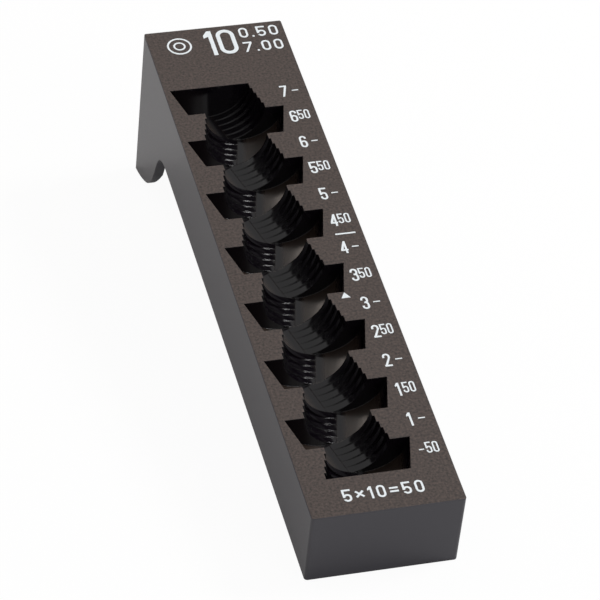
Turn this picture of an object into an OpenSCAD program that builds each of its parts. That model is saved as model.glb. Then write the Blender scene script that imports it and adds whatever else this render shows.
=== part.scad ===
// Counting rack for one kind of small coin.
// The coins stand on edge in groups of five along a half-round channel. Each coin has its own seat,
// set a little to the side of the one before, and each group jumps to the other side of the channel,
// so a full group is seen at a glance and its amount is read off the scale beside it.
// The rack stands on the lower edge of its front wall and on its rear leg, so its top slopes to the front.
// The body is one moulding, open underneath, and the white marks are thin films of ink on its top face.

/* [Coins] */
// Diameter of one coin
coin_d = 19.75; // [18:0.05:22]
// Thickness of one coin at its rim
coin_t = 1.93; // [1.6:0.01:2.4]
// Clearance between a coin's edge and its seat
edge_gap = 0.06; // [0.03:0.01:0.3]
// Spare length of each seat along the channel
face_gap = 0.03; // [0.01:0.01:0.15]
// Extra depth of each group's smooth side, past its seats
ease_t = 0.06; // [0.05:0.01:0.2]
// Reach of the smooth side past its lowest line, into the seats
ease_w = 1; // [0.8:0.1:2]

/* [Groups] */
// Groups of coins along the channel
groups = 14; // [10:1:16]
// Coins in one group
group_coins = 5; // [4:1:7]
// Sideways step from one coin to the next
side_step = 0.506; // [0.3:0.002:0.6]
// Distance of a group's rearmost coin from the middle of the channel
group_throw = 3.12; // [2:0.01:4]

/* [Body] */
// Top face in front of the first group
front_margin = 11.43; // [9:0.01:25]
// Top face behind the last group
rear_margin = 23.2; // [21:0.05:40]
// Top face left of the outermost seats
left_margin = 1.6; // [1.2:0.05:6]
// Top face right of the outermost seats, which carries the scale
scale_margin = 7.63; // [7.3:0.01:14]
// Height of the bar, from the top face to the lower edge of its walls
bar_h = 20.3; // [16:0.1:26]
// Thickness of the side, front and rear walls
wall_t = 2.6; // [1.2:0.1:3.2]
// Thickness of the top plate
top_t = 2; // [1.2:0.1:3]
// Thickness of the channel's own wall under the coins
channel_t = 1.6; // [1:0.1:2.5]
// Radius of the upright corners
corner_r = 0.8; // [0.4:0.1:1.2]
// Radius of the edges around the top face
rim_r = 0.2; // [0.1:0.05:0.4]

/* [Rear leg] */
// Depth of the leg's rear corner below the top face
leg_h = 45.6; // [40:0.1:55]
// Length of the leg where it leaves the bar
leg_root = 23.7; // [20:0.1:30]
// Lean of the leg's front edge, in degrees
leg_lean = 22.5; // [14:0.5:26]
// Radius between the leg and the bar
fillet_r = 9; // [3:0.1:12]
// Radius of the foot's sole
sole_r = 41; // [36:0.5:60]
// Rise of the sole's curve where it starts at the heel, in degrees from the floor
sole_rise = 5.3; // [2:0.1:8]
// Radius of the foot's toe
toe_r = 16.5; // [8:0.5:20]
// Width of the bevel on the inner edge of the foot's side walls
bevel_w = 1.3; // [0.5:0.1:2]
// Height of that bevel
bevel_h = 2; // [0.5:0.1:3]

/* [Print] */
// Thickness of the ink
ink_t = 0.05; // [0.03:0.01:0.1]
// Height of the scale's whole figures
figure_h = 4.2; // [3:0.1:5]
// Height of the scale's small figures
small_h = 3.4; // [2:0.1:4]
// Height of the coin's value on the rear margin
value_h = 9.6; // [6:0.1:11]
// Height of the two lines of figures beside the coin's value
line_h = 3.9; // [2.5:0.1:4.5]
// Length of those two lines
line_l = 10.3; // [9.6:0.05:10.6]
// Height of the sum on the front margin
sum_h = 3.7; // [2.5:0.1:5]
// Radius of the coin sign
sign_r = 3.2; // [2:0.1:4]
// Distance from the middle of the rear margin's print to the rear edge
value_inset = 6.4; // [5.8:0.1:8]
// Distance from the middle of the sum to the front edge
sum_inset = 5.75; // [4:0.05:6.5]
// Distance from the left edge of the scale's figures to the right side
scale_inset = 7; // [6.8:0.05:7.2]
// Distance of the scale's rows behind the middles of their groups
print_rise = 0.35; // [0:0.05:1]
// Middle of the coin sign, from the left side
sign_x = 7.95; // [5:0.05:9]
// Left edge of the coin's value, from the left side
value_x = 14.85; // [13:0.05:16]
// Left edge of the two lines of figures, from the left side
lines_x = 24.3; // [24:0.05:25]
// Group behind which the scale has its level line
level_group = 7; // [1:1:9]
// Group behind which the arrow points
arrow_group = 5; // [1:2:9]

/* [Hidden] */

$fn = 96;
// how far a cutting body runs past the face that it cuts
over = 1;

plastic = [0.20, 0.19, 0.18];
ink = [0.95, 0.95, 0.94];

seat_r = coin_d / 2 + edge_gap;
coin_pitch = coin_t + face_gap;
group_l = group_coins * coin_pitch;
skew = atan(side_step / coin_pitch);
reach = group_throw + side_step + seat_r;
channel_x = left_margin + reach;
body_w = channel_x + reach + scale_margin;
body_l = front_margin + groups * group_l + rear_margin;
tilt = atan((leg_h - bar_h) / body_l);

// y of the rear end of group g, counted from the front
function group_rear(g) = front_margin + (g + 1) * group_l;
// even groups lie to the right of the channel's middle, odd ones to the left
function side_of(g) = g % 2 == 0 ? 1 : -1;
// distance of coin c's seat from the channel's middle, counted from the group's rear end
function seat_offset(c) = group_throw - c * side_step;

// ---- body: its profile from the side, with y to the right and z up ----

bar_corner = [body_l - leg_root, -bar_h];
leg_way = [sin(leg_lean), -cos(leg_lean)];
leg_inward = [cos(leg_lean), sin(leg_lean)];
heel = [body_l, -leg_h];
sole_centre = heel + sole_r * [sin(tilt + sole_rise), cos(tilt + sole_rise)];

// the toe's centre is toe_r inside the leg's front edge and toe_r inside the sole's circle
toe_start = bar_corner + toe_r * leg_inward - sole_centre;
toe_run = -(toe_start * leg_way)
    + sqrt(pow(toe_start * leg_way, 2) - toe_start * toe_start + pow(sole_r - toe_r, 2));
toe_centre = sole_centre + toe_start + toe_run * leg_way;
toe_front = toe_centre - toe_r * leg_inward;
toe_sole = sole_centre + (toe_centre - sole_centre) * sole_r / (sole_r - toe_r);

fillet_run = fillet_r * tan((90 - leg_lean) / 2);
fillet_centre = bar_corner - [fillet_run, fillet_r];

module rounded_rect(w, l, r) {
    translate([r, 0]) square([w - 2 * r, l]);
    translate([0, r]) square([w, l - 2 * r]);
    for (x = [r, w - r], y = [r, l - r]) translate([x, y]) circle(r);
}

module leg_outline() {
    tip = toe_centre + 1.5 * ((toe_front - toe_centre) + (toe_sole - toe_centre));
    difference() {
        intersection() {
            polygon([bar_corner + [0, over], bar_corner, bar_corner + 2 * leg_h * leg_way,
                     [body_l, -2 * leg_h], [body_l, over - bar_h]]);
            translate(sole_centre) circle(sole_r, $fn = 360);
        }
        polygon([toe_centre, toe_front, tip, toe_sole]);
    }
    translate(toe_centre) circle(toe_r);
}

module fillet_outline() {
    difference() {
        polygon([bar_corner - [fillet_run, 0], fillet_centre, bar_corner + fillet_run * leg_way,
                 bar_corner + [over, over], bar_corner + [-fillet_run, over]]);
        translate(fillet_centre) circle(fillet_r);
    }
}

module side_outline() {
    translate([0, -bar_h]) square([body_l, bar_h - rim_r]);
    translate([rim_r, -bar_h]) square([body_l - 2 * rim_r, bar_h]);
    for (y = [rim_r, body_l - rim_r]) translate([y, -rim_r]) circle(rim_r);
    leg_outline();
    fillet_outline();
}

module front_outline() {
    translate([0, -leg_h - over]) square([body_w, leg_h + over - rim_r]);
    translate([rim_r, -over]) square([body_w - 2 * rim_r, over]);
    for (x = [rim_r, body_w - rim_r]) translate([x, -rim_r]) circle(rim_r);
}

module blank() {
    intersection() {
        rotate([90, 0, 90]) linear_extrude(body_w) side_outline();
        translate([0, body_l, 0]) rotate([90, 0, 0]) linear_extrude(body_l) front_outline();
        translate([0, 0, -leg_h - over]) linear_extrude(leg_h + over) rounded_rect(body_w, body_l, corner_r);
    }
}

// ---- body: its coin channel ----

// the half of a round seat that faces away from the group's smooth side, with its axis at x
module half_seat(x, side, y0, y1) {
    intersection() {
        translate([x, y1, 0]) rotate([90, 0, 0]) cylinder(r = seat_r, h = y1 - y0);
        translate([x - (side > 0 ? 2 * seat_r : 0), y0, -2 * seat_r]) cube([2 * seat_r, y1 - y0, 4 * seat_r]);
    }
}

// a slanted round channel between y0 and y1, on the line that guides the outer edges of group g's coins;
// inward is how far it reaches past its own axis, towards the other side of the channel
module slant_channel(g, r, y0, y1, inward) {
    side = side_of(g);
    run = 2 * (y1 - y0) + 4 * r;
    intersection() {
        translate([0, y0, -2 * r]) cube([body_w, y1 - y0, 4 * r]);
        translate([channel_x + side * (reach - seat_r / cos(skew)), group_rear(g), 0])
            rotate([0, 0, -side * skew])
                intersection() {
                    translate([0, run / 2, 0]) rotate([90, 0, 0]) cylinder(r = r, h = run);
                    translate([side > 0 ? -inward : inward - 2 * r, -run / 2, -2 * r]) cube([2 * r, run, 4 * r]);
                }
    }
}

// the seats, and a smooth side a little deeper than they are, so that their steps end at its edge
module group_cut(g) {
    rear = group_rear(g);
    for (c = [0 : group_coins - 1])
        half_seat(channel_x + side_of(g) * seat_offset(c), side_of(g),
                  rear - (c + 1) * coin_pitch, rear - c * coin_pitch);
    slant_channel(g, seat_r + ease_t, rear - group_l, rear, ease_w);
}

// the channel's wall as it hangs under the top plate
module group_jacket(g) {
    r = seat_r + channel_t;
    slant_channel(g, r, group_rear(g) - group_l - channel_t, group_rear(g) + channel_t, r);
}

// what the inner edge of the foot's left wall loses: all that lies outside a cone around the sole's centre
module foot_bevel() {
    x0 = wall_t - bevel_w - over;
    run = bevel_w + 2 * over;
    grow = over * bevel_h / bevel_w;
    difference() {
        translate([x0, bar_corner.x, -leg_h - over]) cube([run, leg_root - wall_t, leg_h + over - bar_h]);
        translate([x0, sole_centre.x, sole_centre.y])
            rotate([0, 90, 0]) cylinder(r1 = sole_r + grow, r2 = sole_r - bevel_h - grow, h = run, $fn = 360);
    }
}

module rack_moulding() {
    difference() {
        blank();
        difference() {
            translate([wall_t, wall_t, -leg_h - over])
                cube([body_w - 2 * wall_t, body_l - 2 * wall_t, leg_h + over - top_t]);
            for (g = [0 : groups - 1]) group_jacket(g);
        }
        for (g = [0 : groups - 1]) group_cut(g);
        foot_bevel();
        translate([body_w, 0, 0]) mirror([1, 0, 0]) foot_bevel();
    }
}

// ---- print: figures made of bars and round bowls, w wide and h high, with strokes s wide ----

// an upright shape with round ends, from y = 0 to y = h
module pill(w, h) {
    translate([w / 2, w / 2]) circle(w / 2);
    translate([w / 2, h - w / 2]) circle(w / 2);
    translate([0, w / 2]) square([w, h - w]);
}

module bowl(w, h, s) {
    difference() {
        pill(w, h);
        translate([s, s]) pill(w - 2 * s, h - 2 * s);
    }
}

// a straight stroke between two points, with square ends
module stroke(a, b, s) {
    way = b - a;
    side = [-way.y, way.x] / norm(way) * s / 2;
    polygon([a - side, b - side, b + side, a + side]);
}

module figure_1(w, h, s) {
    polygon([[w - s, 0], [w, 0], [w, h], [w - s, h], [0, 0.83 * h], [0, 0.83 * h - s], [w - s, 0.83 * h - s / 2]]);
}

module figure_2(w, h, s) {
    shoulder = h - w / 2;
    difference() {
        translate([0, h - 1.4 * w]) bowl(w, 1.4 * w, s);
        translate([-over, h - 2 * w]) square([w / 2 + over, 2 * w - w / 2 - 0.1 * h]);
        translate([w / 4, h - 2 * w]) square([w, 2 * w - w / 2 - 0.12 * h]);
    }
    polygon([[0, 0], [s, 0], [w, shoulder - 0.12 * h], [w - s, shoulder - 0.12 * h], [0, s / 2]]);
    square([w, s]);
}

module figure_3(w, h, s) {
    middle = 0.53 * h;
    difference() {
        union() {
            bowl(w, middle + s / 2, s);
            translate([0, middle - s / 2]) bowl(w, h - middle + s / 2, s);
        }
        translate([-over, w / 2 + 0.06 * h]) square([w * 0.42 + over, h - w - 0.12 * h]);
    }
}

module figure_4(w, h, s) {
    bar = 0.22 * h;
    stem = w - 1.5 * s;
    translate([stem, 0]) square([s, h]);
    translate([0, bar]) square([w, s]);
    polygon([[0, bar], [s, bar], [stem + s, h], [stem, h], [0, bar + s]]);
}

module figure_5(w, h, s) {
    waist = 0.62 * h;
    difference() {
        bowl(w, waist, s);
        translate([-over, w / 2 + 0.06 * h]) square([s + over, waist - w / 2 - 0.06 * h - s]);
        translate([-over, waist - w / 2 - s]) square([s + over, w / 2 + s + over]);
    }
    translate([0, waist - w / 2]) square([s, h - waist + w / 2]);
    translate([0, h - s]) square([w, s]);
}

module figure_6(w, h, s) {
    bowl(w, 0.6 * h, s);
    difference() {
        bowl(w, h, s);
        translate([w / 2, 0.3 * h]) square([w, 0.7 * h - w / 2 - 0.04 * h]);
    }
}

module figure_7(w, h, s) {
    polygon([[0, h], [w, h], [w, h - s], [s * 1.3, 0], [0.2 * s, 0], [w - 1.15 * s, h - s], [0, h - s]]);
}

// the little sum on the front margin also has a times sign, an equals sign and, elsewhere, a point
module figure_times(w, h, s) {
    arm = w / 2 - s / 4;
    for (k = [-1, 1]) stroke([w / 2 - arm, h / 2 - k * arm], [w / 2 + arm, h / 2 + k * arm], s);
}

module figure_equals(w, h, s) {
    for (k = [-1, 1]) translate([0, h / 2 + k * s - s / 2]) square([w, s]);
}

module figure(c, w, h, s) {
    if (c == "0") bowl(w, h, s);
    if (c == "1") figure_1(w, h, s);
    if (c == "2") figure_2(w, h, s);
    if (c == "3") figure_3(w, h, s);
    if (c == "4") figure_4(w, h, s);
    if (c == "5") figure_5(w, h, s);
    if (c == "6") figure_6(w, h, s);
    if (c == "7") figure_7(w, h, s);
    if (c == "x") figure_times(w, h, s);
    if (c == "=") figure_equals(w, h, s);
    if (c == ".") square(s);
}

// a 1 and a point are narrower than the other figures
function drawn_w(c, w, s) = c == "." ? s : c == "1" ? 0.2 * w + s * 1.25 : w;
// left edge of figure i in a row of them
function figure_x(row, i, w, s, gap) = i == 0 ? 0 : figure_x(row, i - 1, w, s, gap) + drawn_w(row[i - 1], w, s) + gap;
function row_w(row, w, s, gap) = figure_x(row, len(row), w, s, gap) - gap;

module figures(row, w, h, s, gap) {
    for (i = [0 : len(row) - 1])
        translate([figure_x(row, i, w, s, gap), 0]) figure(row[i], drawn_w(row[i], w, s), h, s);
}

// ink on the top face, with the lower left corner of its drawing at p
module printed(p) {
    color(ink) on_stand() translate([p.x, p.y, 0]) linear_extrude(ink_t) children();
}

// ---- the rack as it stands, with the middle of its footprint at the origin ----

stand_front = rim_r * (cos(tilt) + sin(tilt) - 1);
stand_rear = body_l * cos(tilt) + leg_h * sin(tilt);
stand_lift = bar_h * cos(tilt);

module on_stand() {
    translate([-body_w / 2, -(stand_front + stand_rear) / 2, stand_lift]) rotate([tilt, 0, 0]) children();
}

module rack_body() {
    color(plastic) on_stand() rack_moulding();
}

// ---- the printed marks ----

value_y = body_l - value_inset;
scale_x = body_w - scale_inset;

// every figure's width and stroke follow its height
whole_w = 0.43 * figure_h;
whole_s = 0.12 * figure_h;
small_w = 0.4 * small_h;
small_s = 0.11 * small_h;
small_x = scale_x + whole_w + 0.06 * figure_h;
small_gap = 0.09 * small_h;
dash_l = 0.4 * figure_h;
dash_s = 0.08 * figure_h;

// middle of the scale's row beside group g
function row_y(g) = group_rear(g) - group_l / 2 + print_rise;

// a ring and a smaller ring in it, for a coin
module coin_sign_print() {
    printed([sign_x, value_y])
        for (r = [sign_r, 0.5 * sign_r])
            difference() {
                circle(r);
                circle(r - 0.15 * sign_r);
            }
}

// the value of one coin, in hundredths
module coin_value_print() {
    printed([value_x, value_y - value_h / 2]) figures("10", 0.5 * value_h, value_h, 0.112 * value_h, 0.1 * value_h);
}

// the value of a group over the value of a full rack, spaced to the same length
module rack_values_print() {
    w = 0.6 * line_h;
    s = 0.14 * line_h;
    for (k = [0, 1]) {
        row = ["0.50", "7.00"][k];
        gap = (line_l - row_w(row, w, s, 0)) / (len(row) - 1);
        printed([lines_x, value_y + (k == 0 ? 1 : -1) * (value_h - line_h) / 2 - line_h / 2])
            figures(row, w, line_h, s, gap);
    }
}

// beside every second group the scale passes a whole amount, and every other group adds a half
module whole_amounts_print() {
    for (g = [1 : groups - 1]) {
        amount = str(floor((g + 1) / 2));
        printed([scale_x + (whole_w - drawn_w(amount, whole_w, whole_s)) / 2, row_y(g) - figure_h / 2])
            figures(amount, whole_w, figure_h, whole_s, 0);
    }
}

module half_amounts_print() {
    for (g = [0 : 2 : groups - 1])
        printed([small_x, row_y(g) + figure_h / 2 - small_h])
            figures("50", small_w, small_h, small_s, small_gap);
}

module amount_dashes_print() {
    for (g = [1 : 2 : groups - 1])
        printed([small_x + dash_l / 2, row_y(g) - dash_s / 2]) square([dash_l, dash_s]);
    printed([small_x - dash_l, row_y(0) - dash_s / 2]) square([0.7 * dash_l, dash_s]);
}

// the level at which the rack is a little over half full
module level_line_print() {
    printed([scale_x, group_rear(level_group) + print_rise - dash_s])
        square([small_x - scale_x + 2 * small_w + small_gap, 1.4 * dash_s]);
}

module arrow_print() {
    h = 0.45 * figure_h;
    printed([channel_x + reach - group_coins * side_step, group_rear(arrow_group) - 0.06 * figure_h])
        polygon([[0, 0], [-0.6 * h, -h], [0.6 * h, -h]]);
}

// five coins of ten make fifty
module group_sum_print() {
    w = 0.55 * sum_h;
    s = 0.14 * sum_h;
    gap = 0.26 * sum_h;
    row = "5x10=50";
    printed([(body_w - row_w(row, w, s, gap)) / 2, sum_inset - sum_h / 2]) figures(row, w, sum_h, s, gap);
}

rack_body();
coin_sign_print();
coin_value_print();
rack_values_print();
whole_amounts_print();
half_amounts_print();
amount_dashes_print();
level_line_print();
arrow_print();
group_sum_print();
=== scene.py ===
# %% [markdown]
# A counting rack for coins, moulded in dark plastic
#
# The rack is one moulding with white figures printed on it. Its exact shape comes ready-made, as a
# frame that must not be moved or reshaped, so this lesson is about everything else: the plastic,
# the ink, the light and the camera.

# %% Load the exact shape and count its printed marks
import math

import bpy
from mathutils import Matrix, Vector

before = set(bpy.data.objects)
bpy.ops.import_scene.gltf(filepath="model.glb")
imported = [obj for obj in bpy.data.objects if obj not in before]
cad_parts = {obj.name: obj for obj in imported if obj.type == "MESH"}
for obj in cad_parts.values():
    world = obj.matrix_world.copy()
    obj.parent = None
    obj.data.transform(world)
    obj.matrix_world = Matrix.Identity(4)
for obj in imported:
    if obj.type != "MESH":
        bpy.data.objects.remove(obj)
scene = bpy.context.scene
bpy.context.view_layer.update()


rack_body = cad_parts["rack_body"]
marks = [node for name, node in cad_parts.items() if name.endswith("_print")]
print("printed marks:", len(marks))

# %% [markdown]
# Where the camera stands
#
# A small product looks natural through a long lens from far away, which shows little perspective.
# Such a camera could be aimed with a constraint at an empty, but that can't set its exact roll.
# Here its place is given as a point, and its aim as directions at right angles: to the right, up,
# and back towards the viewer. Those three are the columns of its matrix.

# %% Make the camera
CAMERA_PLACE = Vector((-0.198387, -0.669469, 0.514246))
LOOK = Vector((0.234380, 0.779528, -0.580863)).normalized()
CAMERA_RIGHT = Vector((0.965200, -0.257898, 0.043365)).normalized()
CAMERA_UP = CAMERA_RIGHT.cross(LOOK).normalized()
SENSOR_MM = 36
LENS_MM = 210.43
NEAREST, FARTHEST = 0.05, 20

camera_data = bpy.data.cameras.new("rack_camera")
camera_data.sensor_width = SENSOR_MM
camera_data.lens = LENS_MM
camera_data.clip_start = NEAREST
camera_data.clip_end = FARTHEST
camera = bpy.data.objects.new("rack_camera", camera_data)
scene.collection.objects.link(camera)
camera.matrix_world = (
    Matrix.Translation(CAMERA_PLACE)
    @ Matrix((CAMERA_RIGHT, CAMERA_UP, -LOOK)).transposed().to_4x4()
)
scene.camera = camera
print("camera stands", round(CAMERA_PLACE.length, 2), "m from the rack")

# %% [markdown]
# The rack's own directions
#
# The top face slopes down to the front, so world height doesn't tell top face from channel. A point
# is first turned back by the slope, and then its last coordinate is the height above the top face.
# The slope could be measured on the mesh, but it follows exactly from the sizes that the moulding
# was drawn with, which are repeated here.

# %% Sizes of the moulding, in metres, and its slope
BODY_WIDTH = 0.036352
BODY_LENGTH = 0.17183
BAR_HEIGHT = 0.0203
LEG_HEIGHT = 0.0456
RIM_RADIUS = 0.0002

slope = math.atan((LEG_HEIGHT - BAR_HEIGHT) / BODY_LENGTH)
foot_front = RIM_RADIUS * (math.cos(slope) + math.sin(slope) - 1)
foot_rear = BODY_LENGTH * math.cos(slope) + LEG_HEIGHT * math.sin(slope)
rack_corner = Vector(
    (-BODY_WIDTH / 2, -(foot_front + foot_rear) / 2, BAR_HEIGHT * math.cos(slope))
)
to_rack = Matrix.Rotation(-slope, 4, "X") @ Matrix.Translation(-rack_corner)
print("top face slopes by", round(math.degrees(slope), 2), "degrees")

# %% [markdown]
# Helpers for building materials
#
# A material is a small network. These helpers add a node and wire a value or another node's output
# into its inputs, so that each later line reads like one step of a recipe.


# %% Helpers for nodes
def add_node(tree, kind, place, **settings):
    node = tree.nodes.new(kind)
    node.location = place
    for name, value in settings.items():
        setattr(node, name, value)
    return node


def feed(tree, socket, source):
    if isinstance(source, bpy.types.NodeSocket):
        tree.links.new(source, socket)
    else:
        socket.default_value = source


def maths(tree, operation, place, *sources):
    node = add_node(tree, "ShaderNodeMath", place, operation=operation)
    for socket, source in zip(node.inputs, sources):
        feed(tree, socket, source)
    return node.outputs[0]


print("helpers:", [helper.__name__ for helper in (add_node, feed, maths)])

# %% [markdown]
# Fine grain, shared by plastic and ink
#
# The mould's top face is spark-eroded, which leaves a fine, even grain, and the ink lies over it.
# An image of grain would blur close up and show its seams, so it is worked out at every point
# instead. Both materials take it from one node group with its own inputs for size and strength. It
# gives a colour factor around 1, a roughness and a height, all of which change over the surface.

# %% Start the grain group with its inputs and outputs
grain = bpy.data.node_groups.new("moulded_grain", "ShaderNodeTree")
grain.interface.new_socket("Position", in_out="INPUT", socket_type="NodeSocketVector")
for name in ("Grains per metre", "Contrast", "Roughness", "Roughness Change"):
    grain.interface.new_socket(name, in_out="INPUT", socket_type="NodeSocketFloat")
for name in ("Shade", "Roughness", "Height"):
    grain.interface.new_socket(name, in_out="OUTPUT", socket_type="NodeSocketFloat")
given = add_node(grain, "NodeGroupInput", (-900, 0))
result = add_node(grain, "NodeGroupOutput", (600, 0))
print("grain group's sockets:", [item.name for item in grain.interface.items_tree])

# %% [markdown]
# Inside the grain group
#
# A spark leaves a small crater, and thousands of them overlap. Noise gives their uneven sizes and a
# Voronoi texture their round pits, so the height is the sum of both. The shade and the roughness
# follow the noise alone, which swings evenly about one half.

# %% Fill the grain group
SPECKLE_DETAIL = 2.0
SPECKLE_FINENESS = 0.6
NOISE_MIDDLE = 0.5

speckle = add_node(grain, "ShaderNodeTexNoise", (-650, 200))
speckle.inputs["Detail"].default_value = SPECKLE_DETAIL
speckle.inputs["Roughness"].default_value = SPECKLE_FINENESS
pits = add_node(grain, "ShaderNodeTexVoronoi", (-650, -150), feature="F1")
for texture in (speckle, pits):
    feed(grain, texture.inputs["Vector"], given.outputs["Position"])
    feed(grain, texture.inputs["Scale"], given.outputs["Grains per metre"])

centred = maths(grain, "SUBTRACT", (-420, 200), speckle.outputs["Fac"], NOISE_MIDDLE)
swing = maths(grain, "MULTIPLY", (-240, 200), centred, given.outputs["Contrast"])
shade = maths(grain, "ADD", (-60, 200), swing, 1.0)
change = maths(grain, "MULTIPLY", (-240, 0), centred, given.outputs["Roughness Change"])
rough = maths(grain, "ADD", (-60, 0), change, given.outputs["Roughness"])
bumps = maths(grain, "ADD", (-60, -200), speckle.outputs["Fac"], pits.outputs["Distance"])
for name, source in (("Shade", shade), ("Roughness", rough), ("Height", bumps)):
    feed(grain, result.inputs[name], source)
print("grain group has", len(grain.nodes), "nodes")

# %% [markdown]
# Putting the grain to use
#
# A finish is one copy of the group with its own values, and a colour that the group's shade makes
# lighter and darker. The third helper lays the relief on a shader. Grain is far too fine for
# geometry, and a Bump node tilts the shading as the real relief would.


# %% Helpers for finishes
def place_grain(tree, place, position, **values):
    node = add_node(tree, "ShaderNodeGroup", place, node_tree=grain)
    feed(tree, node.inputs["Position"], position)
    for name, value in values.items():
        feed(tree, node.inputs[name.replace("_", " ")], value)
    return node


def shaded(tree, place, colour, grained):
    node = add_node(tree, "ShaderNodeVectorMath", place, operation="SCALE")
    node.inputs[0].default_value = colour
    feed(tree, node.inputs["Scale"], grained.outputs["Shade"])
    return node.outputs[0]


def add_relief(tree, place, shader, height, strength, depth):
    node = add_node(tree, "ShaderNodeBump", place)
    node.inputs["Strength"].default_value = strength
    node.inputs["Distance"].default_value = depth
    feed(tree, node.inputs["Height"], height)
    feed(tree, shader.inputs["Normal"], node.outputs["Normal"])
    return node


print("helpers:", [helper.__name__ for helper in (place_grain, shaded, add_relief)])

# %% [markdown]
# The plastic
#
# One shot of plastic, but four finishes, because the mould's faces were finished differently: a
# grained top, satin sides, polished seats for the coins, and half-matt slides opposite them. The
# seats are coloured near black, which is painted shade of the deep channel, and the slides keep a
# browner tone. Separate materials would need the mesh to be cut along the borders. Here masks
# made from the place and the direction of each face choose the finish inside one material, and
# the mesh stays as it is.


# %% Start the plastic, with each point's place and direction in the rack
def start_material(name):
    material = bpy.data.materials.new(name)
    material.use_nodes = True
    tree = material.node_tree
    shader = tree.nodes["Principled BSDF"]
    shader.location = (600, 0)
    tree.nodes["Material Output"].location = (900, 0)
    return material, tree, shader


plastic, tree, shader = start_material("dark_moulded_plastic")
where = add_node(tree, "ShaderNodeTexCoord", (-1900, 300))
turned = add_node(tree, "ShaderNodeMapping", (-1700, 300), vector_type="POINT")
turned.inputs["Rotation"].default_value = (-slope, 0, 0)
turned.inputs["Location"].default_value = to_rack.translation
feed(tree, turned.inputs["Vector"], where.outputs["Object"])
along = add_node(tree, "ShaderNodeSeparateXYZ", (-1500, 300))
feed(tree, along.inputs[0], turned.outputs["Vector"])

facing = add_node(tree, "ShaderNodeMapping", (-1700, -100), vector_type="NORMAL")
facing.inputs["Rotation"].default_value = (-slope, 0, 0)
feed(tree, facing.inputs["Vector"], where.outputs["Normal"])
faces = add_node(tree, "ShaderNodeSeparateXYZ", (-1500, -100))
feed(tree, faces.inputs[0], facing.outputs["Vector"])
print("plastic starts with", len(tree.nodes), "nodes")

# %% [markdown]
# The top face
#
# The grained face carries the print and is the only one at the rack's full height. Height alone
# would also take in the highest line of each wall, so the face has to look straight up as well.

# %% Mask the top face
TOP_SKIN = 0.00008
STRAIGHT_UP = 0.985

level = maths(tree, "GREATER_THAN", (-1300, 300), along.outputs["Z"], -TOP_SKIN)
upward = maths(tree, "GREATER_THAN", (-1300, -100), faces.outputs["Z"], STRAIGHT_UP)
top_mask = maths(tree, "MULTIPLY", (-1100, 200), level, upward)
print("top face is a skin of", round(1000 * TOP_SKIN, 2), "mm")

# %% [markdown]
# The outer faces
#
# The sides, the two ends, the foot and the underside share a satin finish. Their directions don't
# tell them from the channel's walls, but their places do: they are within a thin skin of the rack's
# outline, or they face down. A point is outside if any one of these is true, which is the largest
# of the masks.

# %% Mask the outer faces
SIDE_SKIN = 0.0009
FOOT_SKIN = 0.0001
FACING_DOWN = -0.2

half_width = BODY_WIDTH / 2
from_middle = maths(tree, "SUBTRACT", (-1300, 120), along.outputs["X"], half_width)
sideways = maths(tree, "ABSOLUTE", (-1100, 60), from_middle)
on_side = maths(tree, "GREATER_THAN", (-900, 60), sideways, half_width - SIDE_SKIN)
on_front = maths(tree, "LESS_THAN", (-1100, -80), along.outputs["Y"], SIDE_SKIN)
on_rear = maths(tree, "GREATER_THAN", (-1100, -220), along.outputs["Y"], BODY_LENGTH - SIDE_SKIN)
on_foot = maths(tree, "LESS_THAN", (-1100, -360), along.outputs["Z"], -BAR_HEIGHT + FOOT_SKIN)
downward = maths(tree, "LESS_THAN", (-1300, -360), faces.outputs["Z"], FACING_DOWN)
outer_mask = on_side
for step, found in enumerate((on_front, on_rear, on_foot, downward)):
    outer_mask = maths(tree, "MAXIMUM", (-900 + 150 * step, -80), outer_mask, found)
print("outer faces are a skin of", round(1000 * SIDE_SKIN, 1), "mm")

# %% [markdown]
# Slides and seats
#
# Each group of coins has stepped seats on one side of the channel, and a smooth slide on the other.
# A slide runs slantwise, so its direction leans a little lengthways. The seats' walls don't lean at
# all, and the steps between them face straight along the rack, which is far more than a lean. Near
# the top face a slide takes the seats' near black, as painted shade, so its own finish only sets in
# with depth.


# %% Mask the slides
def ramp(tree, place, source, low, high, style="LINEAR"):
    node = add_node(tree, "ShaderNodeMapRange", place, interpolation_type=style)
    node.inputs["From Min"].default_value = low
    node.inputs["From Max"].default_value = high
    feed(tree, node.inputs["Value"], source)
    return node.outputs["Result"]


LEAN_STARTS, LEAN_FULL = 0.004, 0.04
STEP_LEAN = 0.6
SLIDE_STARTS, SLIDE_FULL = -0.0025, -0.0065

lean = maths(tree, "ABSOLUTE", (-1300, -520), faces.outputs["Y"])
leans = ramp(tree, (-1100, -520), lean, LEAN_STARTS, LEAN_FULL)
no_step = maths(tree, "LESS_THAN", (-1100, -660), lean, STEP_LEAN)
leaning = maths(tree, "MULTIPLY", (-900, -520), leans, no_step)
# near the top the slides get the seats' painted shade, and their own finish only below it
below_painted_shade = ramp(
    tree, (-1100, -820), along.outputs["Z"], SLIDE_STARTS, SLIDE_FULL, style="SMOOTHSTEP"
)
slide_mask = maths(tree, "MULTIPLY", (-740, -520), leaning, below_painted_shade)
print("plastic has", len(tree.nodes), "nodes so far")

# %% [markdown]
# Colour, gloss and grain of each finish
#
# Dark plastic shows its shape by what it reflects far more than by its own colour, so roughness
# matters most: low on the polished seats, higher on the slides and sides, highest on the grained
# top. The top's contrast is strong: its dark and light specks are painted shade and highlight of
# its pits and peaks, on top of the relief's own shading. The colours themselves are near black, and
# only the light makes them look grey. The seats' near black is darker still, as painted shade.

# %% Choose the four finishes
TOP_COLOUR = (0.048, 0.034, 0.029)
SIDE_COLOUR = (0.023, 0.021, 0.028)
# near black is painted shade of the deep channel, darker than the plastic's own colour
SEAT_PAINTED_SHADE_COLOUR = (0.003, 0.002, 0.0035)
SLIDE_COLOUR = (0.024, 0.016, 0.012)

# the top's strong contrast paints shade into its pits and highlights onto its peaks
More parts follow.
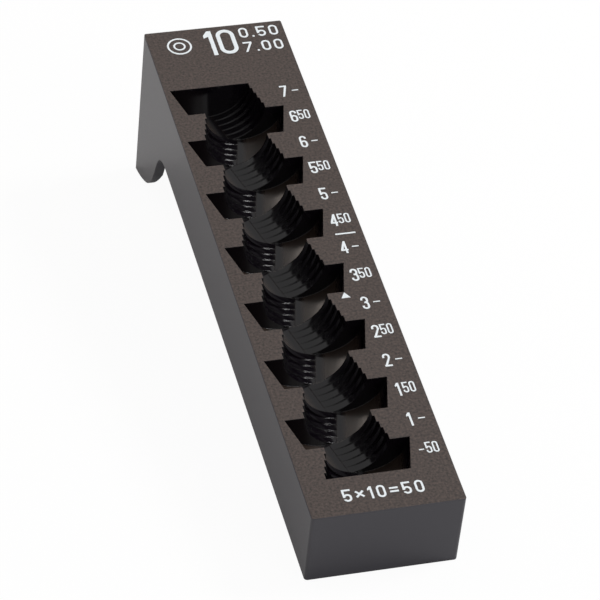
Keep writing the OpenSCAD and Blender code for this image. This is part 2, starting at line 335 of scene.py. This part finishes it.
top_grain = place_grain(
    tree, (-900, 620), turned.outputs["Vector"],
    Grains_per_metre=1600.0, Contrast=3.4, Roughness=0.62, Roughness_Change=0.25,
)
side_grain = place_grain(
    tree, (-900, 380), turned.outputs["Vector"],
    Grains_per_metre=2200.0, Contrast=0.10, Roughness=0.40, Roughness_Change=0.08,
)
seat_grain = place_grain(
    tree, (-900, -560), turned.outputs["Vector"],
    Grains_per_metre=900.0, Contrast=0.10, Roughness=0.09, Roughness_Change=0.03,
)
slide_grain = place_grain(
    tree, (-900, -760), turned.outputs["Vector"],
    Grains_per_metre=1200.0, Contrast=0.60, Roughness=0.34, Roughness_Change=0.10,
)
finishes = {"seat": seat_grain, "slide": slide_grain, "side": side_grain, "top": top_grain}
for name, node in finishes.items():
    print(name, "roughness:", round(node.inputs["Roughness"].default_value, 2))

# %% [markdown]
# Laying the finishes over each other
#
# Masks work like stencils, from the inside out: the slides go over the seats, the outer faces over
# those, and the top face over everything. Colour and roughness are laid in the same order, so one
# helper does both.


# %% Blend colour and roughness
def blend(tree, kind, place, mask, first, second):
    node = add_node(tree, "ShaderNodeMix", place, data_type=kind)
    for name, source in (("Factor", mask), ("A", first), ("B", second)):
        feed(tree, node.inputs[name], source)
    return node.outputs["Result"]


def lay_finishes(kind, places, seat, slide, side, top):
    inside = blend(tree, kind, places[0], slide_mask, seat, slide)
    below = blend(tree, kind, places[1], outer_mask, inside, side)
    return blend(tree, kind, places[2], top_mask, below, top)


colour = lay_finishes(
    "RGBA",
    ((-300, -400), (-200, -200), (100, 0)),
    # the seats get the painted shade colour
    seat=shaded(tree, (-560, -560), SEAT_PAINTED_SHADE_COLOUR, seat_grain),
    slide=shaded(tree, (-560, -400), SLIDE_COLOUR, slide_grain),
    side=shaded(tree, (-460, 380), SIDE_COLOUR, side_grain),
    top=shaded(tree, (-460, 620), TOP_COLOUR, top_grain),
)
roughness = lay_finishes(
    "FLOAT",
    ((-400, -700), (-200, -420), (100, -220)),
    **{name: node.outputs["Roughness"] for name, node in finishes.items()},
)
feed(tree, shader.inputs["Base Color"], colour)
feed(tree, shader.inputs["Roughness"], roughness)
print("wired:", [socket.name for socket in shader.inputs if socket.is_linked])

# %% [markdown]
# Relief and soft edges
#
# The grain's relief is full on the top and weak on the sides, and the channel has none. Moulded
# edges are never razor sharp either. A Bevel modifier would round the mesh, which has to stay as it
# is, so a Bevel node bends the shading near each edge instead, as a small radius would. It lets the
# rims of the seats catch the light as thin lines.

# %% Give the plastic its relief and edges
SIDE_RELIEF = 0.12
EDGE_RADIUS = 0.00035
EDGE_SAMPLES = 4

on_walls = blend(tree, "FLOAT", (-200, -640), outer_mask, 0.0, side_grain.outputs["Height"])
weak = maths(tree, "MULTIPLY", (0, -640), on_walls, SIDE_RELIEF)
height = blend(tree, "FLOAT", (150, -520), top_mask, weak, top_grain.outputs["Height"])
soft_edges = add_node(tree, "ShaderNodeBevel", (150, -820))
soft_edges.samples = EDGE_SAMPLES
soft_edges.inputs["Radius"].default_value = EDGE_RADIUS
relief = add_relief(tree, (360, -420), shader, height, strength=0.35, depth=0.00006)
feed(tree, relief.inputs["Normal"], soft_edges.outputs["Normal"])
rack_body.data.materials.clear()
rack_body.data.materials.append(plastic)
print("plastic done:", len(tree.nodes), "nodes")

# %% [markdown]
# The ink
#
# The figures are printed in opaque white ink, a film far thinner than paper. A mask could paint
# them into the plastic, but the marks come as exact shapes of their own and only need a material.
# The ink is smoother than the plastic under it, and the grain still shows through a little.

# %% Make the ink
INK_COLOUR = (0.78, 0.83, 0.86)

ink, tree, shader = start_material("white_print_ink")
where = add_node(tree, "ShaderNodeTexCoord", (-900, 0))
ink_grain = place_grain(
    tree, (-600, 0), where.outputs["Object"],
    Grains_per_metre=3300.0, Contrast=0.06, Roughness=0.45, Roughness_Change=0.15,
)
feed(tree, shader.inputs["Base Color"], shaded(tree, (0, 100), INK_COLOUR, ink_grain))
feed(tree, shader.inputs["Roughness"], ink_grain.outputs["Roughness"])
add_relief(tree, (300, -300), shader, ink_grain.outputs["Height"], strength=0.15, depth=0.00005)
for mark in marks:
    mark.data.materials.clear()
    mark.data.materials.append(ink)
print("ink on", len(marks), "marks")

# %% [markdown]
# White to the eye, plain to the rack
#
# A background as bright as white paper, made with more light, would also wash the rack out. A Light
# Path node tells what kind of ray has arrived. The eye's own rays get the full share of white, and
# rays that come by way of a glossy or see-through thing a smaller one, so the plastic mirrors the
# same surroundings more quietly. All other rays get none of it.


# %% Make the share of white for each kind of ray
def white_share(tree, place, straight, mirrored):
    path = add_node(tree, "ShaderNodeLightPath", place)
    x, y = place
    glint = maths(
        tree, "MAXIMUM", (x + 200, y - 150),
        path.outputs["Is Glossy Ray"], path.outputs["Is Transmission Ray"],
    )
    smaller = maths(tree, "MULTIPLY", (x + 400, y - 150), glint, mirrored)
    full = maths(tree, "MULTIPLY", (x + 400, y), path.outputs["Is Camera Ray"], straight)
    return maths(tree, "MAXIMUM", (x + 600, y), full, smaller)


print("helper:", white_share.__name__)

# %% [markdown]
# Floor
#
# A plain white sweep. It could curve up behind the rack as a backdrop does, but the world behind it
# is just as white, so a flat sheet is enough. To the eye nearly all of it shines by itself, so that
# it is white whatever the light is, and the rest still takes the shadow. Mirrored, it shines far
# less, so the satin side of the rack also mirrors the shadow beside it.

# %% Lay the floor
FLOOR_REACH = 3
FLOOR_COLOUR = (0.9, 0.9, 0.9, 1)
FLOOR_ROUGHNESS = 0.9
FLOOR_TO_EYE, FLOOR_MIRRORED = 0.95, 0.15
WHITE_LEVEL = 1.0

floor_mesh = bpy.data.meshes.new("studio_floor")
corners = [
    (x * FLOOR_REACH, y * FLOOR_REACH, 0) for x, y in ((-1, -1), (1, -1), (1, 1), (-1, 1))
]
floor_mesh.from_pydata(corners, [], [(0, 1, 2, 3)])
floor = bpy.data.objects.new("studio_floor", floor_mesh)
scene.collection.objects.link(floor)

white_floor, tree, shader = start_material("white_floor")
shader.inputs["Base Color"].default_value = FLOOR_COLOUR
shader.inputs["Roughness"].default_value = FLOOR_ROUGHNESS
glow = add_node(tree, "ShaderNodeEmission", (600, -400))
glow.inputs["Strength"].default_value = WHITE_LEVEL
share = white_share(tree, (-100, 300), FLOOR_TO_EYE, FLOOR_MIRRORED)
mixed = add_node(tree, "ShaderNodeMixShader", (800, 0))
for socket, source in zip(mixed.inputs, (share, shader.outputs[0], glow.outputs[0])):
    feed(tree, socket, source)
feed(tree, tree.nodes["Material Output"].inputs["Surface"], mixed.outputs[0])
floor_mesh.materials.append(white_floor)
print("floor laid,", [round(side, 1) for side in floor.dimensions[:2]], "m")

# %% [markdown]
# Lamps
#
# Three soft lamps, all aimed at the rack. Soft area lamps give highlights with gentle ends, where a
# point lamp would leave hard dots. The one at the right draws the thin lines along the rims of the
# seats and throws the shadow to the left. The low, slightly warm one behind is for the half-matt
# slides to reflect, and the one in front lifts the small end face.


# %% Hang the lamps
def soft_lamp(name, place, size, watts, colour=(1, 1, 1)):
    data = bpy.data.lights.new(name, "AREA")
    data.shape = "RECTANGLE"
    data.size, data.size_y = size
    data.energy = watts
    data.color = colour
    lamp = bpy.data.objects.new(name, data)
    lamp.location = place
    lamp.rotation_euler = (-Vector(place)).to_track_quat("-Z", "Y").to_euler()
    scene.collection.objects.link(lamp)


WARM_WHITE = (1.0, 0.86, 0.76)

soft_lamp("side_softbox", place=(0.85, 0.0, 0.90), size=(0.35, 0.35), watts=8.5)
soft_lamp("front_softbox", place=(0.55, -0.95, 0.60), size=(0.50, 0.50), watts=3.2)
soft_lamp(
    "rear_softbox", place=(-0.25, 0.95, 0.48), size=(0.70, 0.36), watts=2.6, colour=WARM_WHITE
)

# %% [markdown]
# World
#
# An even fill from all around, as from the walls of a pale room, keeps the shaded sides readable.
# It is weaker than white, and only the eye, and in part the rack's reflections, see it whiter. The
# Standard view shows the colours as they were written.

# %% Set the world
WORLD_LEVEL = 0.45
WORLD_TO_EYE, WORLD_MIRRORED = 1.0, 0.2

world = bpy.data.worlds.new("studio_world")
scene.world = world
world.use_nodes = True
tree = world.node_tree
background = tree.nodes["Background"]
share = white_share(tree, (-900, 300), WORLD_TO_EYE, WORLD_MIRRORED)
strength = blend(tree, "FLOAT", (-250, 100), share, WORLD_LEVEL, WHITE_LEVEL)
feed(tree, background.inputs["Strength"], strength)
background.inputs["Color"].default_value = (1, 1, 1, 1)
scene.view_settings.view_transform = "Standard"
print("world lights the rack at", WORLD_LEVEL, "of white")
